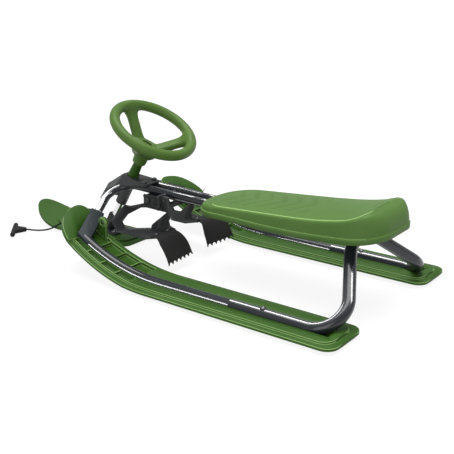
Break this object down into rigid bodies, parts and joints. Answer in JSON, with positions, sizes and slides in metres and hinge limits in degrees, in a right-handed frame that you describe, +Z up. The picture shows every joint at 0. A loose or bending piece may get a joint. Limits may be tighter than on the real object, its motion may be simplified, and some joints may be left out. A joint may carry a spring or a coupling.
{
  "type": "steering sled",
  "caption": "Low snow sled with side runners on a bent tube frame, a wheel-steered front ski, a moulded seat, a sprung foot brake and a rewind tow rope.",
  "frame": {"origin": "on the ground below the middle of the sled's box", "axes": "+X forward along the runners, +Y to the rider's left, +Z up"},
  "size_m": [1.0096, 0.499, 0.3423],
  "materials": {
    "green_plastic": "satin moulded",
    "tube_lacquer": "gloss lacquer",
    "plate_lacquer": "semi-gloss lacquer",
    "bright_steel": "zinc plated",
    "black_plastic": "fine grain",
    "rope_fibre": "braided"
  },
  "bodies": {
    "frame": {"runner_left": "green_plastic", "runner_right": "green_plastic", "rear_hoop": "tube_lacquer", "runner_tube_left": "tube_lacquer", "runner_tube_right": "tube_lacquer", "frame_tube_left": "tube_lacquer", "frame_tube_right": "tube_lacquer", "tube_rings": "bright_steel", "runner_bolts": "bright_steel", "steering_head": "plate_lacquer", "head_bolts": "bright_steel", "bush_upper": "black_plastic", "bush_lower": "black_plastic", "seat_shell": "green_plastic", "seat_bracket_front": "plate_lacquer", "seat_bracket_rear": "plate_lacquer", "seat_screws": "bright_steel", "brake_hanger": "plate_lacquer", "brake_pin": "bright_steel", "cross_pin": "bright_steel", "brake_spring": "bright_steel"},
    "steering": {"steering_wheel": "green_plastic", "wheel_bolt": "bright_steel", "column_sleeve": "green_plastic", "steering_column": "bright_steel", "steering_fork": "plate_lacquer", "front_ski": "green_plastic", "ski_bolts": "bright_steel", "reel_housing": "black_plastic", "reel_lid": "black_plastic", "tow_rope": "rope_fibre", "tow_handle": "black_plastic"},
    "brake": {"brake_plate_left": "plate_lacquer", "brake_plate_right": "plate_lacquer", "brake_claw_left": "plate_lacquer", "brake_claw_right": "plate_lacquer", "brake_bolts": "bright_steel", "brake_spacer": "plate_lacquer"},
    "spool": {"rope_spool": "black_plastic"}
  },
  "joints": [
    {"name": "steering_turn", "type": "hinge", "parent": "frame", "child": "steering", "pos_m": [0.113, 0, 0.2843], "axis": [-0.5015, 0, 0.8652], "range_deg": [-30, 30]},
    {"name": "brake_press", "type": "hinge", "parent": "frame", "child": "brake", "pos_m": [0.1, 0, 0.13], "axis": [0, -1, 0], "range_deg": [0, 20], "stiffness_Nm_per_rad": 3, "springref_deg": -20.05, "deforming": ["brake_spring"]},
    {"name": "spool_turn", "type": "hinge", "parent": "steering", "child": "spool", "pos_m": [0.35, 0, 0.026], "axis": [0, 0, 1], "continuous": true}
  ]
}
